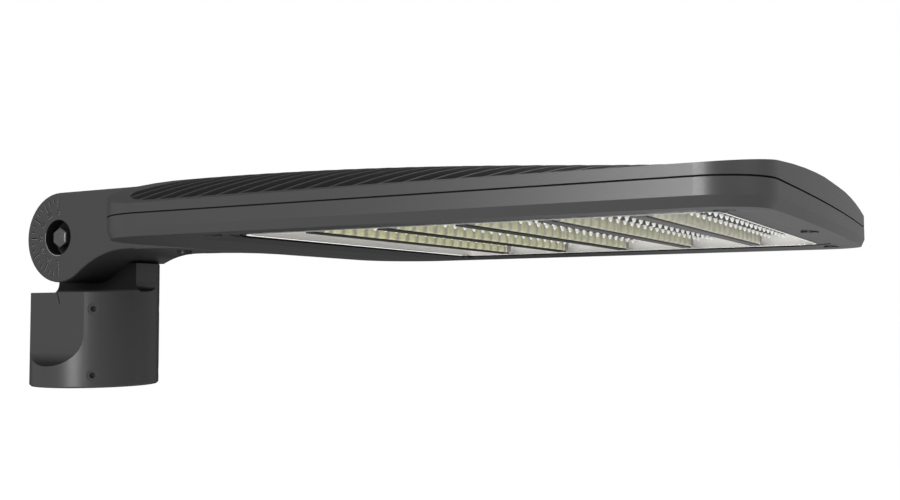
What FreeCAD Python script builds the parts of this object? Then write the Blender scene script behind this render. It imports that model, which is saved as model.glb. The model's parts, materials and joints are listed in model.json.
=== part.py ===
import FreeCAD, Part
import Sketcher
import math
import os

from FreeCAD import Vector

# Area light on an adjustable slip fitter, as separate pieces on one tilting joint.
# The frame of the part: the origin is the centre of the slip fitter's open end, where it
# meets the pole's tenon. +Z is up along the tenon, +X runs out to the tip of the head and
# the tilt axis runs along Y. Sizes are millimetres.

SIZES = {
    # The slip fitter that sleeves over the tenon.
    "tenon_dia": 60.3,
    "tenon_slack": 1.5,
    "base_dia": 92.0,
    "base_height": 68.4,
    "base_roof": 6.4,
    "base_edge_round": 1.2,
    "flat_cove_radius": 32.0,
    "flat_cove_height": 37.9,
    "screw_dia": 8.0,
    "screw_low_height": 9.0,
    "screw_top_margin": 12.1,
    "screw_sunk": 0.6,
    "screw_socket": 4.0,
    "screw_socket_depth": 4.0,
    # The knuckle, where an ear of the slip fitter meets a half barrel of the arm.
    "pivot_height": 108.5,
    "knuckle_width": 73.4,
    "barrel_radius": 32.8,
    "split_gap": 0.3,
    "running_gap": 0.8,
    "ear_half_width": 40.6,
    "ear_shoulder_drop": 18.4,
    "ear_foot_round": 8.0,
    "chamber_radius": 22.0,
    "seat_wall": 5.2,
    "boss_radius": 9.5,
    "wire_hole_dia": 14.0,
    "bolt_dia": 8.0,
    "bolt_slack": 0.1,
    "bolt_head_flats": 13.0,
    "bolt_head_high": 5.3,
    "nut_high": 6.5,
    "bolt_tail": 1.5,
    "washer_dia": 22.0,
    "washer_thick": 1.6,
    "counterbore_dia": 26.0,
    "counterbore_depth": 9.5,
    # The arm, which is one casting with the top of the head.
    "arm_belly_drop": 10.7,
    "arm_belly_flat": 9.0,
    "arm_lip_start": 14.0,
    "arm_edge_round": 2.0,
    "arm_wall": 7.0,
    "arm_roof": 7.5,
    "arm_cavity_start": 62.0,
    # The head, seen from above.
    "head_rear_x": 158.0,
    "head_length": 372.6,
    "head_width": 337.0,
    "tip_bow": 3.4,
    "rear_corner_radius": 52.0,
    "front_corner_radius": 27.0,
    "neck_round": 20.0,
    "neck_bite": 0.3,
    # The head, seen from the side.
    "rim_rise": 2.45,
    "spine_level_run": 7.0,
    "spine_tip_rise": 9.6,
    "parting_drop": 2.4,
    "chamfer_drop": 10.3,
    "chamfer_inset": 2.0,
    "underside_drop": 14.8,
    "tongue_start": 76.0,
    "gasket_thick": 0.8,
    "gasket_wide": 3.0,
    "gasket_inset": 1.0,
    # The fins on top.
    "fin_rear_margin": 20.0,
    "fin_pitch": 13.6,
    "fin_thick": 2.4,
    "fin_floor_rise": 1.6,
    "fin_corner_radius": 40.0,
    "rim_wall": 4.5,
    "fin_front_margin": 28.0,
    "spine_wall": 3.5,
    # The bay for the driver.
    "bay_rear_margin": 6.0,
    "bay_front_margin": 12.5,
    "bay_side_margin": 70.5,
    "bay_rise": 15.0,
    "bay_roof": 3.5,
    # The lower frame and its opening.
    "frame_lip": 3.3,
    "frame_wall": 5.0,
    "opening_rear_margin": 88.5,
    "opening_front_margin": 28.1,
    "opening_side_margin": 37.7,
    "opening_rear_round": 10.0,
    "opening_front_round": 12.0,
    "ledge_width": 8.5,
    "ledge_step": 0.4,
    "bezel_slope_width": 17.0,
    "bezel_rise": 1.4,
    "pan_drop": 6.9,
    "pan_thick": 0.8,
    "pan_gap": 0.3,
    "pan_flange": 3.0,
    # The five rows of light emitting diodes and their optics.
    "row_rear_margin": 42.5,
    "row_front_margin": 5.1,
    "strip_end_gap": 10.8,
    "bar_width": 6.0,
    "bar_drop": 13.4,
    "optic_width": 30.0,
    "optic_plate": 1.4,
    "optic_wall": 2.2,
    "optic_wall_drop": 12.6,
    "optic_gap": 0.3,
    "lens_pitch": 8.6,
    "lens_start": 8.0,
    "lens_radius": 3.6,
    "diode_end_gap": 11.7,
    "diode_side": 3.0,
    "diode_high": 0.7,
    "board_thick": 1.5,
    "board_width": 27.0,
    "board_margin": 3.0,
    # Pieces inside.
    "driver_width": 60.0,
    "driver_high": 22.0,
    "driver_end_gap": 3.0,
    "bracket_thick": 1.2,
    "bracket_lap": 4.0,
    "surge_length": 34.0,
    "surge_width": 30.0,
    "surge_high": 20.0,
    "surge_end_gap": 5.0,
    "terminal_length": 28.0,
    "terminal_width": 24.0,
    "terminal_high": 14.0,
    "small_screw_dia": 5.0,
    "small_screw_head_dia": 9.0,
    "small_screw_head_high": 2.4,
    "small_screw_socket": 3.0,
    "screw_hole_depth": 4.0,
    "tongue_screw_inset": 12.0,
    "front_screw_inset": 13.4,
    "corner_screw_inset": 23.0,
    "side_screw_inset": 23.5,
    "rear_screw_inset": 4.5,
    "post_dia": 10.0,
    "overrun": 5.0,
}

DIODES_IN_A_ROW = 20
LENS_ROWS = 3
STRIPS = 5
FALL_SHARES = (0.0, 0.25, 0.5, 0.75, 1.0)
LENS_CREST_SHARE = 0.8
BEVEL_RUN_SHARE = math.sqrt(3)
TOUCH = 0.001

doc = FreeCAD.newDocument("area_light")
sheet = doc.addObject("Spreadsheet::Sheet", "Sizes")
for number, (name, value) in enumerate(SIZES.items(), start=1):
    sheet.set("A%d" % number, name)
    sheet.set("B%d" % number, str(value))
    sheet.setAlias("B%d" % number, name)
doc.recompute()


class Size:
    """A length that knows its number and the formula that gives it from the sheet."""

    def __init__(self, number, formula):
        self.number = number
        self.formula = formula

    def joined(self, other, sign, swapped=False):
        left, right = (self, other)
        if not isinstance(other, Size):
            right = Size(float(other), repr(other))
        if swapped:
            left, right = right, left
        numbers = {
            "+": lambda a, b: a + b,
            "-": lambda a, b: a - b,
            "*": lambda a, b: a * b,
            "/": lambda a, b: a / b,
        }
        number = numbers[sign](left.number, right.number)
        return Size(number, "(%s %s %s)" % (left.formula, sign, right.formula))

    def __add__(self, other):
        return self.joined(other, "+")

    def __radd__(self, other):
        return self.joined(other, "+", swapped=True)

    def __sub__(self, other):
        return self.joined(other, "-")

    def __rsub__(self, other):
        return self.joined(other, "-", swapped=True)

    def __mul__(self, other):
        return self.joined(other, "*")

    def __rmul__(self, other):
        return self.joined(other, "*", swapped=True)

    def __truediv__(self, other):
        return self.joined(other, "/")

    def __neg__(self):
        return Size(-self.number, "(-%s)" % self.formula)

    def __float__(self):
        return self.number


def size(name):
    return Size(float(sheet.get(name)), "Sizes." + name)


def text(value):
    return value.formula if isinstance(value, Size) else repr(value)


def at(x, y, z):
    return Vector(float(x), float(y), float(z))


X_AXIS = Vector(1, 0, 0)
Y_AXIS = Vector(0, 1, 0)
Z_AXIS = Vector(0, 0, 1)

sub_parts = []


def keep(feature, label):
    """Name a finished sub-part; its label names its file."""
    feature.Label = label
    sub_parts.append(feature)
    return feature


def solid_feature(label, shape):
    """A sub-part whose form comes from curves and solids worked out below."""
    feature = doc.addObject("Part::Feature", label)
    feature.Shape = shape
    feature.Placement = FreeCAD.Placement()
    return keep(feature, label)


def place(feature, x, y, z):
    for axis, value in zip("xyz", (x, y, z)):
        feature.setExpression("Placement.Base." + axis, text(value))


def box(name, low, high):
    """A bound box between two corners."""
    feature = doc.addObject("Part::Box", name)
    for side, a, b in zip(("Length", "Width", "Height"), low, high):
        feature.setExpression(side, text(b - a))
    place(feature, *low)
    return feature


def turned(axis):
    """The turn that lays Z along an upright or level axis; for a level one, X then stands upright."""
    if axis.z:
        return FreeCAD.Rotation()
    return FreeCAD.Rotation(Z_AXIS, axis.cross(Z_AXIS), axis, "ZXY")


def rod(name, radius, height, x, y, z, axis=Z_AXIS):
    """A bound cylinder that starts at a point and runs along an axis."""
    feature = doc.addObject("Part::Cylinder", name)
    feature.setExpression("Radius", text(radius))
    feature.setExpression("Height", text(height))
    feature.Placement = FreeCAD.Placement(Vector(), turned(axis))
    place(feature, x, y, z)
    return feature


def hexagon(name, across_flats, height, x, y, z, axis=Z_AXIS):
    """A bound hexagonal prism that starts at a point and runs along an axis."""
    feature = doc.addObject("Part::Prism", name)
    feature.Polygon = 6
    feature.setExpression("Circumradius", text(across_flats / math.sqrt(3)))
    feature.setExpression("Height", text(height))
    feature.Placement = FreeCAD.Placement(Vector(), turned(axis))
    place(feature, x, y, z)
    return feature


def bevelled_hexagon(name, across_flats, height, x, y, z, axis):
    """A hexagonal prism whose corners are turned down at its start."""
    block = hexagon(name + "_block", across_flats, height, x, y, z, axis)
    cone = doc.addObject("Part::Cone", name + "_bevel")
    cone.setExpression("Radius1", text(across_flats / 2))
    cone.setExpression("Radius2", text(across_flats / 2 + height * BEVEL_RUN_SHARE))
    cone.setExpression("Height", text(height))
    cone.Placement = FreeCAD.Placement(Vector(), turned(axis))
    place(cone, x, y, z)
    both = doc.addObject("Part::MultiCommon", name)
    both.Shapes = [block, cone]
    return both


def fuse(name, shapes):
    feature = doc.addObject("Part::MultiFuse", name)
    feature.Shapes = shapes
    return feature


def cut(name, base, tool):
    feature = doc.addObject("Part::Cut", name)
    feature.Base = base
    feature.Tool = tool
    return feature


def group(name, shapes):
    feature = doc.addObject("Part::Compound", name)
    feature.Links = shapes
    return feature


def solid_box(low, high):
    corner = at(*low)
    return Part.makeBox(*[float(b) - float(a) for a, b in zip(low, high)], corner)


def solid_rod(radius, height, x, y, z, axis=Z_AXIS):
    return Part.makeCylinder(float(radius), float(height), at(x, y, z), axis)


def upright(edge):
    """Whether an edge stands along Z."""
    return edge.BoundBox.XLength < TOUCH and edge.BoundBox.YLength < TOUCH


# Named places that several pieces share.
pivot_z = size("pivot_height")
half_knuckle = size("knuckle_width") / 2
half_head = size("head_width") / 2
barrel_radius = size("barrel_radius")
bore_radius = (size("tenon_dia") + size("tenon_slack")) / 2
base_radius = size("base_dia") / 2
base_height = size("base_height")
bore_depth = base_height - size("base_roof")
split_gap = size("split_gap")
bolt_radius = size("bolt_dia") / 2
bolt_hole_radius = bolt_radius + size("bolt_slack") / 2
seat_y = half_knuckle - size("counterbore_depth")
chamber_depth = seat_y - size("seat_wall")
belly_z = pivot_z - size("arm_belly_drop")
parting_z = pivot_z - size("parting_drop")
underside_z = pivot_z - size("underside_drop")
chamfer_z = pivot_z - size("chamfer_drop")
shoulder_z = pivot_z - size("ear_shoulder_drop")
rear_x = size("head_rear_x")
tip_x = rear_x + size("head_length")
fall_start = rear_x + size("spine_level_run")
fin_start = rear_x + size("fin_rear_margin")
fin_end = tip_x - size("fin_front_margin")
opening_start = rear_x + size("opening_rear_margin")
opening_end = tip_x - size("opening_front_margin")
bay_start = rear_x + size("bay_rear_margin")
bay_end = opening_start - size("bay_front_margin")
row_start = opening_start + size("row_rear_margin")
row_pitch = (opening_end - size("row_front_margin") - size("optic_width") - row_start) * (1 / (STRIPS - 1))
overrun = size("overrun")
wide_corner = size("rear_corner_radius")
lip_z = underside_z + size("frame_lip")
bezel_z = underside_z + size("bezel_rise")
opening_half = half_head - size("opening_side_margin")
strip_half = opening_half - size("strip_end_gap")
bay_half = half_head - size("bay_side_margin")
bay_roof_z = pivot_z + size("bay_rise")
screw_radius = size("small_screw_dia") / 2
screw_head_radius = size("small_screw_head_dia") / 2


def slipfitter_base():
    """The cast sleeve over the tenon, with the ear that the arm turns on."""
    radius = float(base_radius)
    height = float(base_height)
    pivot = float(pivot_z)
    ear_half = float(size("ear_half_width"))
    foot = float(size("ear_foot_round"))
    shoulder = float(shoulder_z)
    past = float(overrun)
    sleeve = Part.makeCylinder(radius, pivot + float(barrel_radius) + past)
    # The ear's outline, seen along Y: flared foot, straight sides, shoulders.
    ear_face = float(split_gap) / 2
    left = -ear_half
    arc_in = math.sqrt(0.5)
    outline = [
        Part.LineSegment(at(-radius - past, 0, 0), at(-radius - past, 0, height)),
        Part.LineSegment(at(-radius - past, 0, height), at(left - foot, 0, height)),
        Part.Arc(at(left - foot, 0, height),
                 at(left - foot + foot * arc_in, 0, height + foot - foot * arc_in),
                 at(left, 0, height + foot)),
        Part.LineSegment(at(left, 0, height + foot), at(left, 0, shoulder)),
        Part.LineSegment(at(left, 0, shoulder), at(ear_half, 0, shoulder)),
        Part.LineSegment(at(ear_half, 0, shoulder), at(ear_half, 0, height + foot)),
        Part.Arc(at(ear_half, 0, height + foot),
                 at(ear_half + foot - foot * arc_in, 0, height + foot - foot * arc_in),
                 at(ear_half + foot, 0, height)),
        Part.LineSegment(at(ear_half + foot, 0, height), at(radius + past, 0, height)),
        Part.LineSegment(at(radius + past, 0, height), at(radius + past, 0, 0)),
        Part.LineSegment(at(radius + past, 0, 0), at(-radius - past, 0, 0)),
    ]
    wire = Part.Wire([piece.toShape() for piece in outline])
    plate = Part.Face(wire).extrude(Vector(0, radius + past, 0))
    plate.translate(Vector(0, ear_face, 0))
    hub = solid_rod(barrel_radius, radius + past, 0, ear_face, pivot, Y_AXIS)
    low_half = Part.makeCylinder(radius + past, height)
    body = sleeve.common(low_half.fuse(plate).fuse(hub).removeSplitter())
    # The two flats in line with the arm's faces end in a round with a cove.
    for side in (-1, 1):
        flat = flat_tool(side)
        body = body.cut(flat)
    bore = Part.makeCylinder(float(bore_radius), float(bore_depth))
    body = body.cut(bore)
    # The way for the wires: up from the bore into the round chamber of the ear.
    chamber = solid_rod(size("chamber_radius"), chamber_depth, 0, ear_face, pivot, Y_AXIS)
    chamber = chamber.cut(solid_rod(size("boss_radius"), chamber_depth, 0, ear_face, pivot, Y_AXIS))
    way_y = chamber_depth / 2 + ear_face
    way = solid_rod(size("wire_hole_dia") / 2, pivot_z - size("boss_radius") - bore_depth,
                    0, way_y, bore_depth)
    body = body.cut(chamber).cut(way.cut(solid_rod(size("boss_radius"), radius, 0, 0, pivot, Y_AXIS)))
    body = body.cut(solid_rod(bolt_hole_radius, radius + past, 0, -ear_face, pivot, Y_AXIS))
    body = body.cut(solid_rod(size("counterbore_dia") / 2, radius, 0, seat_y, pivot, Y_AXIS))
    for height_z, along in screw_places():
        inner = along * float(bore_radius - size("screw_sunk"))
        body = body.cut(solid_rod(size("screw_dia") / 2, radius + past, inner.x, inner.y, height_z, along))
    body = body.removeSplitter()
    rims = [edge for edge in body.Edges
            if abs(edge.BoundBox.ZMax) < TOUCH and edge.BoundBox.XLength > float(bore_radius) * 2 + TOUCH]
    return solid_feature("slipfitter_base", body.makeChamfer(float(size("base_edge_round")), rims))


def flat_tool(side):
    """The space outside one flat of the knuckle, which sweeps out at its foot."""
    cove = float(size("flat_cove_radius"))
    foot = float(size("flat_cove_height"))
    flat = float(half_knuckle)
    out = float(base_radius + overrun)
    top = float(pivot_z + barrel_radius + overrun)
    middle = math.acos((cove - (out - flat) / 4) / cove)
    last = math.acos((cove - (out - flat)) / cove)
    half_way = at(0, flat + cove - cove * math.cos(middle), foot - cove * math.sin(middle))
    end = at(0, out, foot - cove * math.sin(last))
    edges = [
        Part.LineSegment(at(0, flat, top), at(0, flat, foot)),
        Part.Arc(at(0, flat, foot), half_way, end),
        Part.LineSegment(end, at(0, out, top)),
        Part.LineSegment(at(0, out, top), at(0, flat, top)),
    ]
    tool = Part.Face(Part.Wire([edge.toShape() for edge in edges])).extrude(X_AXIS * 2 * out)
    tool.translate(X_AXIS * -out)
    return tool if side > 0 else tool.mirror(Vector(), Y_AXIS)


def screw_places():
    """Height and outward direction of the eight set screws."""
    heights = (size("screw_low_height"), base_height - size("screw_top_margin"))
    angles = [math.radians(45 + 90 * quarter) for quarter in range(4)]
    return [(height, Vector(math.cos(angle), math.sin(angle), 0)) for height in heights for angle in angles]


def set_screws():
    """Eight socket set screws in the wall of the sleeve, in two rings of four."""
    length = base_radius - size("screw_sunk") - bore_radius
    deep = size("screw_socket_depth")
    mouth = bore_radius + length - deep
    screws = []
    for number, (height_z, along) in enumerate(screw_places(), start=1):
        shank = rod("set_shank_%d" % number, size("screw_dia") / 2, length,
                    bore_radius * along.x, bore_radius * along.y, height_z, along)
        socket = hexagon("set_socket_%d" % number, size("screw_socket"), deep,
                         mouth * along.x, mouth * along.y, height_z, along)
        screws.append(cut("set_screw_%d" % number, shank, socket))
    keep(group("set_screw_group", screws), "set_screws")


def pivot_hardware():
    """The bolt with its washers and nut, which clamp the knuckle."""
    flats = size("bolt_head_flats")
    head_y = seat_y + size("washer_thick")
    head = bevelled_hexagon("bolt_head", flats, size("bolt_head_high"),
                            0.0, -head_y - size("bolt_head_high"), pivot_z, Y_AXIS)
    tail = head_y + size("nut_high") + size("bolt_tail")
    shank = rod("bolt_shank", bolt_radius, head_y + tail, 0.0, -head_y, pivot_z, Y_AXIS)
    keep(fuse("pivot_bolt_form", [head, shank]), "pivot_bolt")
    nut = bevelled_hexagon("nut_block", flats, size("nut_high"),
                           0.0, head_y + size("nut_high"), pivot_z, -Y_AXIS)
    nut_hole = rod("nut_hole", bolt_radius, size("nut_high"), 0.0, head_y, pivot_z, Y_AXIS)
    keep(cut("pivot_nut_form", nut, nut_hole), "pivot_nut")
    for label, low in (("head_washer", -head_y), ("nut_washer", seat_y)):
        disc = rod(label + "_disc", size("washer_dia") / 2, size("washer_thick"), 0.0, low, pivot_z, Y_AXIS)
        hole = rod(label + "_hole", bolt_radius, size("washer_thick"), 0.0, low, pivot_z, Y_AXIS)
        keep(cut(label + "_form", disc, hole), label)


def spine_height(x):
    """Height of the spine over the pivot: level along the arm, then falling to the tip."""
    level = float(barrel_radius)
    start = float(fall_start)
    if x <= start:
        return level
    drop = level - float(size("spine_tip_rise"))
    share = (x - start) / (float(tip_x) - start)
    return level - drop * share * share


def head_outline(inset=0.0):
    """The head seen from above, as a closed wire at height zero."""
    half = float(half_head)
    rear = float(rear_x)
    tip = float(tip_x)
    bow = float(size("tip_bow"))
    edges = [
        Part.LineSegment(at(rear, -half, 0), at(tip - bow, -half, 0)),
        Part.Arc(at(tip - bow, -half, 0), at(tip, 0, 0), at(tip - bow, half, 0)),
        Part.LineSegment(at(tip - bow, half, 0), at(rear, half, 0)),
        Part.LineSegment(at(rear, half, 0), at(rear, -half, 0)),
    ]
    block = Part.Face(Part.Wire([edge.toShape() for edge in edges])).extrude(Z_AXIS)
    for x, radius in ((rear, size("rear_corner_radius")), (tip - bow, size("front_corner_radius"))):
        corners = [edge for edge in block.Edges if upright(edge) and abs(edge.BoundBox.XMin - x) < TOUCH]
        block = block.makeFillet(float(radius), corners)
    floor = [face for face in block.Faces if face.BoundBox.ZMax < TOUCH][0]
    if inset:
        floor = floor.makeOffset2D(-inset)
    return floor.OuterWire


def head_block(low, high, inset=0.0):
    wire = head_outline(inset)
    block = Part.Face(wire).extrude(Vector(0, 0, float(high) - float(low)))
    block.translate(Vector(0, 0, float(low)))
    return block


def crown_block():
    """Everything under the crowned top of the head, down past the parting."""
    start = float(fall_start)
    reach = float(tip_x + overrun) - start
    level_start = float(rear_x - size("neck_round"))
    level = Part.Face(crown_section(level_start)).extrude(X_AXIS * (start - level_start))
    falling = [crown_section(start + reach * share) for share in FALL_SHARES]
    return level.fuse(Part.makeLoft(falling, True, False)).removeSplitter()


def crown_section(x):
    """Across the head: a flat spine with an arc on each side of it down to the rim."""
    half = float(half_head)
    flat = float(half_knuckle)
    rim = float(pivot_z + size("rim_rise"))
    top = float(pivot_z) + spine_height(x)
    low = float(underside_z)
    side = half + float(overrun)
    centre = (half ** 2 + rim ** 2 - flat ** 2 - top ** 2) / (2 * (rim - top))
    radius = math.hypot(half, rim - centre)
    between = (half + flat) / 2
    high = centre + math.sqrt(radius ** 2 - between ** 2)
    corners = [(flat, top), (-flat, top), (-half, rim), (-side, rim), (-side, low), (side, low),
               (side, rim), (half, rim)]
    points = [at(x, y, z) for y, z in corners]
    edges = [Part.LineSegment(points[0], points[1]).toShape(),
             Part.Arc(points[1], at(x, -between, high), points[2]).toShape()]
    edges += [Part.LineSegment(a, b).toShape() for a, b in zip(points[2:-1], points[3:])]
    edges.append(Part.Arc(points[-1], at(x, between, high), points[0]).toShape())
    return Part.Wire(edges)


def arm_block():
    """The arm: a round barrel at the pivot, a hollow underside and a level top."""
    radius = float(barrel_radius)
    pivot = float(pivot_z)
    belly = float(belly_z)
    seam = float(size("tongue_start"))
    drop = pivot - belly
    # The hollow is an arc that touches both the barrel and the flat of the belly.
    hollow_x = seam - float(size("arm_belly_flat"))
    hollow = (hollow_x ** 2 - radius ** 2 + drop ** 2) / (2 * (radius - drop))
    reach = radius / (radius + hollow)
    touch = at(hollow_x * reach, 0, pivot - (drop + hollow) * reach)
    middle_x = (touch.x + hollow_x) / 2
    middle = at(middle_x, 0, belly - hollow + math.sqrt(hollow ** 2 - (middle_x - hollow_x) ** 2))
    part = float(parting_z)
    end = float(rear_x + overrun)
    top = pivot + radius
    corners = [at(hollow_x, 0, belly), at(seam, 0, belly), at(seam, 0, part), at(end, 0, part),
               at(end, 0, top), at(0, 0, top)]
    edges = [Part.LineSegment(a, b).toShape() for a, b in zip(corners[:-1], corners[1:])]
    edges.append(Part.Arc(corners[-1], at(-radius, 0, pivot), touch).toShape())
    edges.append(Part.Arc(touch, middle, corners[0]).toShape())
    block = Part.Face(Part.Wire(edges)).extrude(Y_AXIS * 2 * float(half_knuckle))
    block.translate(Y_AXIS * -float(half_knuckle))
    rims = [edge for edge in block.Edges
            if edge.BoundBox.YLength < TOUCH and edge.BoundBox.XLength > TOUCH
            and not (edge.BoundBox.ZMin > belly + TOUCH and edge.BoundBox.ZMax < top - TOUCH)]
    return block.makeFillet(float(size("arm_edge_round")), rims)


def fin_field(low, high):
    """The space that the fins of one side fill, with its rear outer corner rounded."""
    outer = half_head - size("rim_wall")
    block = solid_box((fin_start, half_knuckle + size("spine_wall"), low), (fin_end, outer, high))
    corner = [edge for edge in block.Edges if upright(edge)
              and edge.BoundBox.XMax < float(fin_start) + TOUCH and edge.BoundBox.YMin > float(outer) - TOUCH]
    return block.makeFillet(float(size("fin_corner_radius")), corner)


def fin_gaps():
    """The spaces between the fins of one side, cut down to the plate they stand on."""
    pitch = float(size("fin_pitch"))
    thick = float(size("fin_thick"))
    floor = pivot_z + size("fin_floor_rise")
    top = pivot_z + barrel_radius + overrun
    field = fin_field(floor, top)
    gaps = []
    x = float(fin_start)
    while x < float(fin_end):
        gaps += field.common(solid_box((x + thick, 0, floor), (x + pitch, half_head, top))).Solids
        x += pitch
    roof = size("bay_roof")
    bay = solid_box((0, 0, underside_z), (bay_end + roof, bay_half + roof, bay_roof_z + roof))
    return Part.makeCompound(gaps).cut(bay)


def neck_gussets(low, high):
    """The concave rounds where the head's rear wall runs into the arm's sides."""
    radius = size("neck_round")
    corner = rear_x - radius
    block = solid_box((corner + overrun / 2, half_knuckle - overrun, low),
                      (rear_x + overrun, half_knuckle + radius, high))
    middle_y = half_knuckle + radius - size("neck_bite")
    block = block.cut(solid_rod(radius, high - low, corner, middle_y, low))
    return block.fuse(block.mirror(Vector(), Y_AXIS))


def upper_housing():
    """One casting: the half barrel, the arm, the finned top and the driver bay."""
    pivot = float(pivot_z)
    top = pivot_z + barrel_radius + overrun
    plan = head_block(parting_z, top).fuse(neck_gussets(parting_z, top))
    head = crown_block().common(plan)
    body = head.fuse(arm_block()).removeSplitter()
    # The far half of the barrel makes room for the ear of the slip fitter.
    face_y = -split_gap / 2
    wide = half_knuckle + overrun
    low_z = belly_z - barrel_radius * 2
    slot = solid_rod(barrel_radius + size("running_gap"), wide, 0, face_y, pivot, Y_AXIS)
    tail = solid_box((-barrel_radius - overrun, face_y, low_z),
                     (size("arm_lip_start"), wide, pivot_z + barrel_radius + overrun))
    under = solid_box((0, face_y, low_z),
                      (size("ear_half_width") + overrun, wide, shoulder_z + size("running_gap")))
    body = body.cut(slot.fuse(tail).fuse(under))
    # Hollows: the chamber for the wires, the arm, the driver bay, the bolt and its head.
    deep = chamber_depth
    chamber = solid_rod(size("chamber_radius"), deep, 0, face_y - deep, pivot, Y_AXIS)
    chamber = chamber.cut(solid_rod(size("boss_radius"), deep, 0, face_y - deep, pivot, Y_AXIS))
    way = solid_rod(size("wire_hole_dia") / 2, size("arm_cavity_start"),
                    size("boss_radius"), face_y - deep / 2, pivot, X_AXIS)
    inner = half_knuckle - size("arm_wall")
    ceiling = pivot_z + barrel_radius - size("arm_roof")
    cavity = solid_box((size("arm_cavity_start"), -inner, parting_z),
                       (bay_start + overrun, inner, ceiling))
    bay = solid_box((bay_start, -bay_half, parting_z), (bay_end, bay_half, bay_roof_z))
    bolt_hole = solid_rod(bolt_hole_radius, wide, 0, -wide, pivot, Y_AXIS)
    seat = solid_rod(size("counterbore_dia") / 2, size("counterbore_depth") + overrun,
                     0, -wide, pivot, Y_AXIS)
    body = body.cut([chamber.fuse(way), cavity, bay, bolt_hole, seat])
    gaps = fin_gaps()
    body = body.cut([gaps, gaps.mirror(Vector(), Y_AXIS)])
    holes = [solid_rod(screw_radius, size("screw_hole_depth"), x, y, parting_z)
             for x, y in frame_screw_points()]
    return solid_feature("upper_housing", body.cut(holes))


def frame_screw_points():
    """Where the lower frame's screws go up into the housing."""
    tongue_x = size("tongue_start") + size("tongue_screw_inset")
    points = [(tip_x - size("front_screw_inset"), 0.0), (tongue_x, 0.0)]
    side_y = half_head - size("side_screw_inset")
    for side in (-1, 1):
        points.append((tip_x - size("corner_screw_inset"), side_y * side))
        points.append((opening_start - size("rear_screw_inset"), side_y * side))
    return points


def lower_frame():
    """The frame under the head and the arm, with a bevelled edge and one opening."""
    top_z = parting_z - size("gasket_thick")
    wall = size("frame_wall")
    inset = size("chamfer_inset")
    outer = head_outline()
    inner = head_outline(float(inset))
    outer.translate(Vector(0, 0, float(chamfer_z)))
    inner.translate(Vector(0, 0, float(underside_z)))
    body = head_block(chamfer_z, top_z).fuse(Part.makeLoft([outer, inner], True, True))
    body = body.fuse(neck_gussets(chamfer_z, top_z))
    tongue = tongue_block(0.0, half_knuckle, 0.0, top_z)
    body = body.fuse(tongue).removeSplitter()
    # The tray is hollow above a thin floor, which follows the underside.
    lip = size("frame_lip")
    hollow = head_block(lip_z, parting_z, wall + inset / 2)
    hollow = hollow.fuse(tongue_block(wall, half_knuckle - wall, lip, parting_z))
    body = body.cut(hollow)
    for x, y in frame_screw_points():
        post = solid_rod(size("post_dia") / 2, top_z - underside_z - lip / 2, x, y, underside_z + lip / 2)
        body = body.fuse(post)
    body = body.cut(opening_block(0.0, underside_z - overrun, parting_z)).cut(bezel_tool())
    for x, y in frame_screw_points():
        low = underside_z if float(x) > float(rear_x) else belly_z
        body = body.cut(solid_rod(screw_radius, parting_z - low + overrun, x, y, low - overrun))
        body = body.cut(solid_rod(screw_head_radius, size("small_screw_head_high") + overrun,
                                  x, y, low - overrun))
    return solid_feature("lower_frame", body.removeSplitter())


def bezel_tool():
    """The space under the slope round the opening and under the ledge behind its edge."""
    ledge = size("ledge_width")
    wide = ledge + size("bezel_slope_width")
    slope = Part.makeLoft([opening_wire(wide, underside_z), opening_wire(ledge, bezel_z)], True, True)
    below = opening_block(wide, underside_z - overrun, underside_z)
    above = opening_block(ledge, underside_z, bezel_z + size("ledge_step"))
    return slope.fuse([below, above])


def opening_wire(grow, height):
    block = opening_block(grow, height, height + overrun)
    floor = [face for face in block.Faces if face.BoundBox.ZMax < float(height) + TOUCH][0]
    return floor.OuterWire


def tongue_block(back, side, lift, high):
    """The frame's tongue under the arm, whose underside sinks to meet the head's."""
    start = float(size("tongue_start") + back)
    end = float(rear_x + size("chamfer_inset"))
    past = end + float(overrun)
    drop = float(belly_z - underside_z)
    low = float(belly_z + lift)
    middle = (start + end) / 2
    top = float(high)
    edges = [
        Part.Arc(at(start, 0, low), at(middle, 0, low - drop / 4), at(end, 0, low - drop)),
        Part.LineSegment(at(end, 0, low - drop), at(past, 0, low - drop)),
        Part.LineSegment(at(past, 0, low - drop), at(past, 0, top)),
        Part.LineSegment(at(past, 0, top), at(start, 0, top)),
        Part.LineSegment(at(start, 0, top), at(start, 0, low)),
    ]
    face = Part.Face(Part.Wire([edge.toShape() for edge in edges]))
    block = face.extrude(Vector(0, 2 * float(side), 0))
    block.translate(Vector(0, -float(side), 0))
    return block


def frame_screws():
    """The screws that hold the lower frame up against the housing."""
    high = size("small_screw_head_high")
    screws = []
    for number, (x, y) in enumerate(frame_screw_points(), start=1):
        low = underside_z if float(x) > float(rear_x) else belly_z
        head = rod("frame_head_%d" % number, screw_head_radius, high, x, y, low)
        length = parting_z + size("screw_hole_depth") / 2 - low
        shank = rod("frame_shank_%d" % number, screw_radius, length, x, y, low)
        socket = hexagon("frame_socket_%d" % number, size("small_screw_socket"), high / 2, x, y, low)
        whole = fuse("frame_screw_form_%d" % number, [head, shank])
        screws.append(cut("frame_screw_%d" % number, whole, socket))
    keep(group("frame_screw_group", screws), "frame_screws")


def opening_block(grow, low, high):
    """A block with the outline of the opening, made larger or smaller all round."""
    grow = float(grow)
    half = float(opening_half) + grow
    start = float(opening_start) - grow
    end = float(opening_end) + grow
    block = solid_box((start, -half, low), (end, half, high))
    rear = [edge for edge in block.Edges if upright(edge) and edge.BoundBox.XMin < start + TOUCH]
    block = block.makeFillet(float(size("opening_rear_round")) + grow, rear)
    front = [edge for edge in block.Edges if upright(edge) and edge.BoundBox.XMax > end - TOUCH]
    return block.makeFillet(float(size("opening_front_round")) + grow, front)


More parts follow.
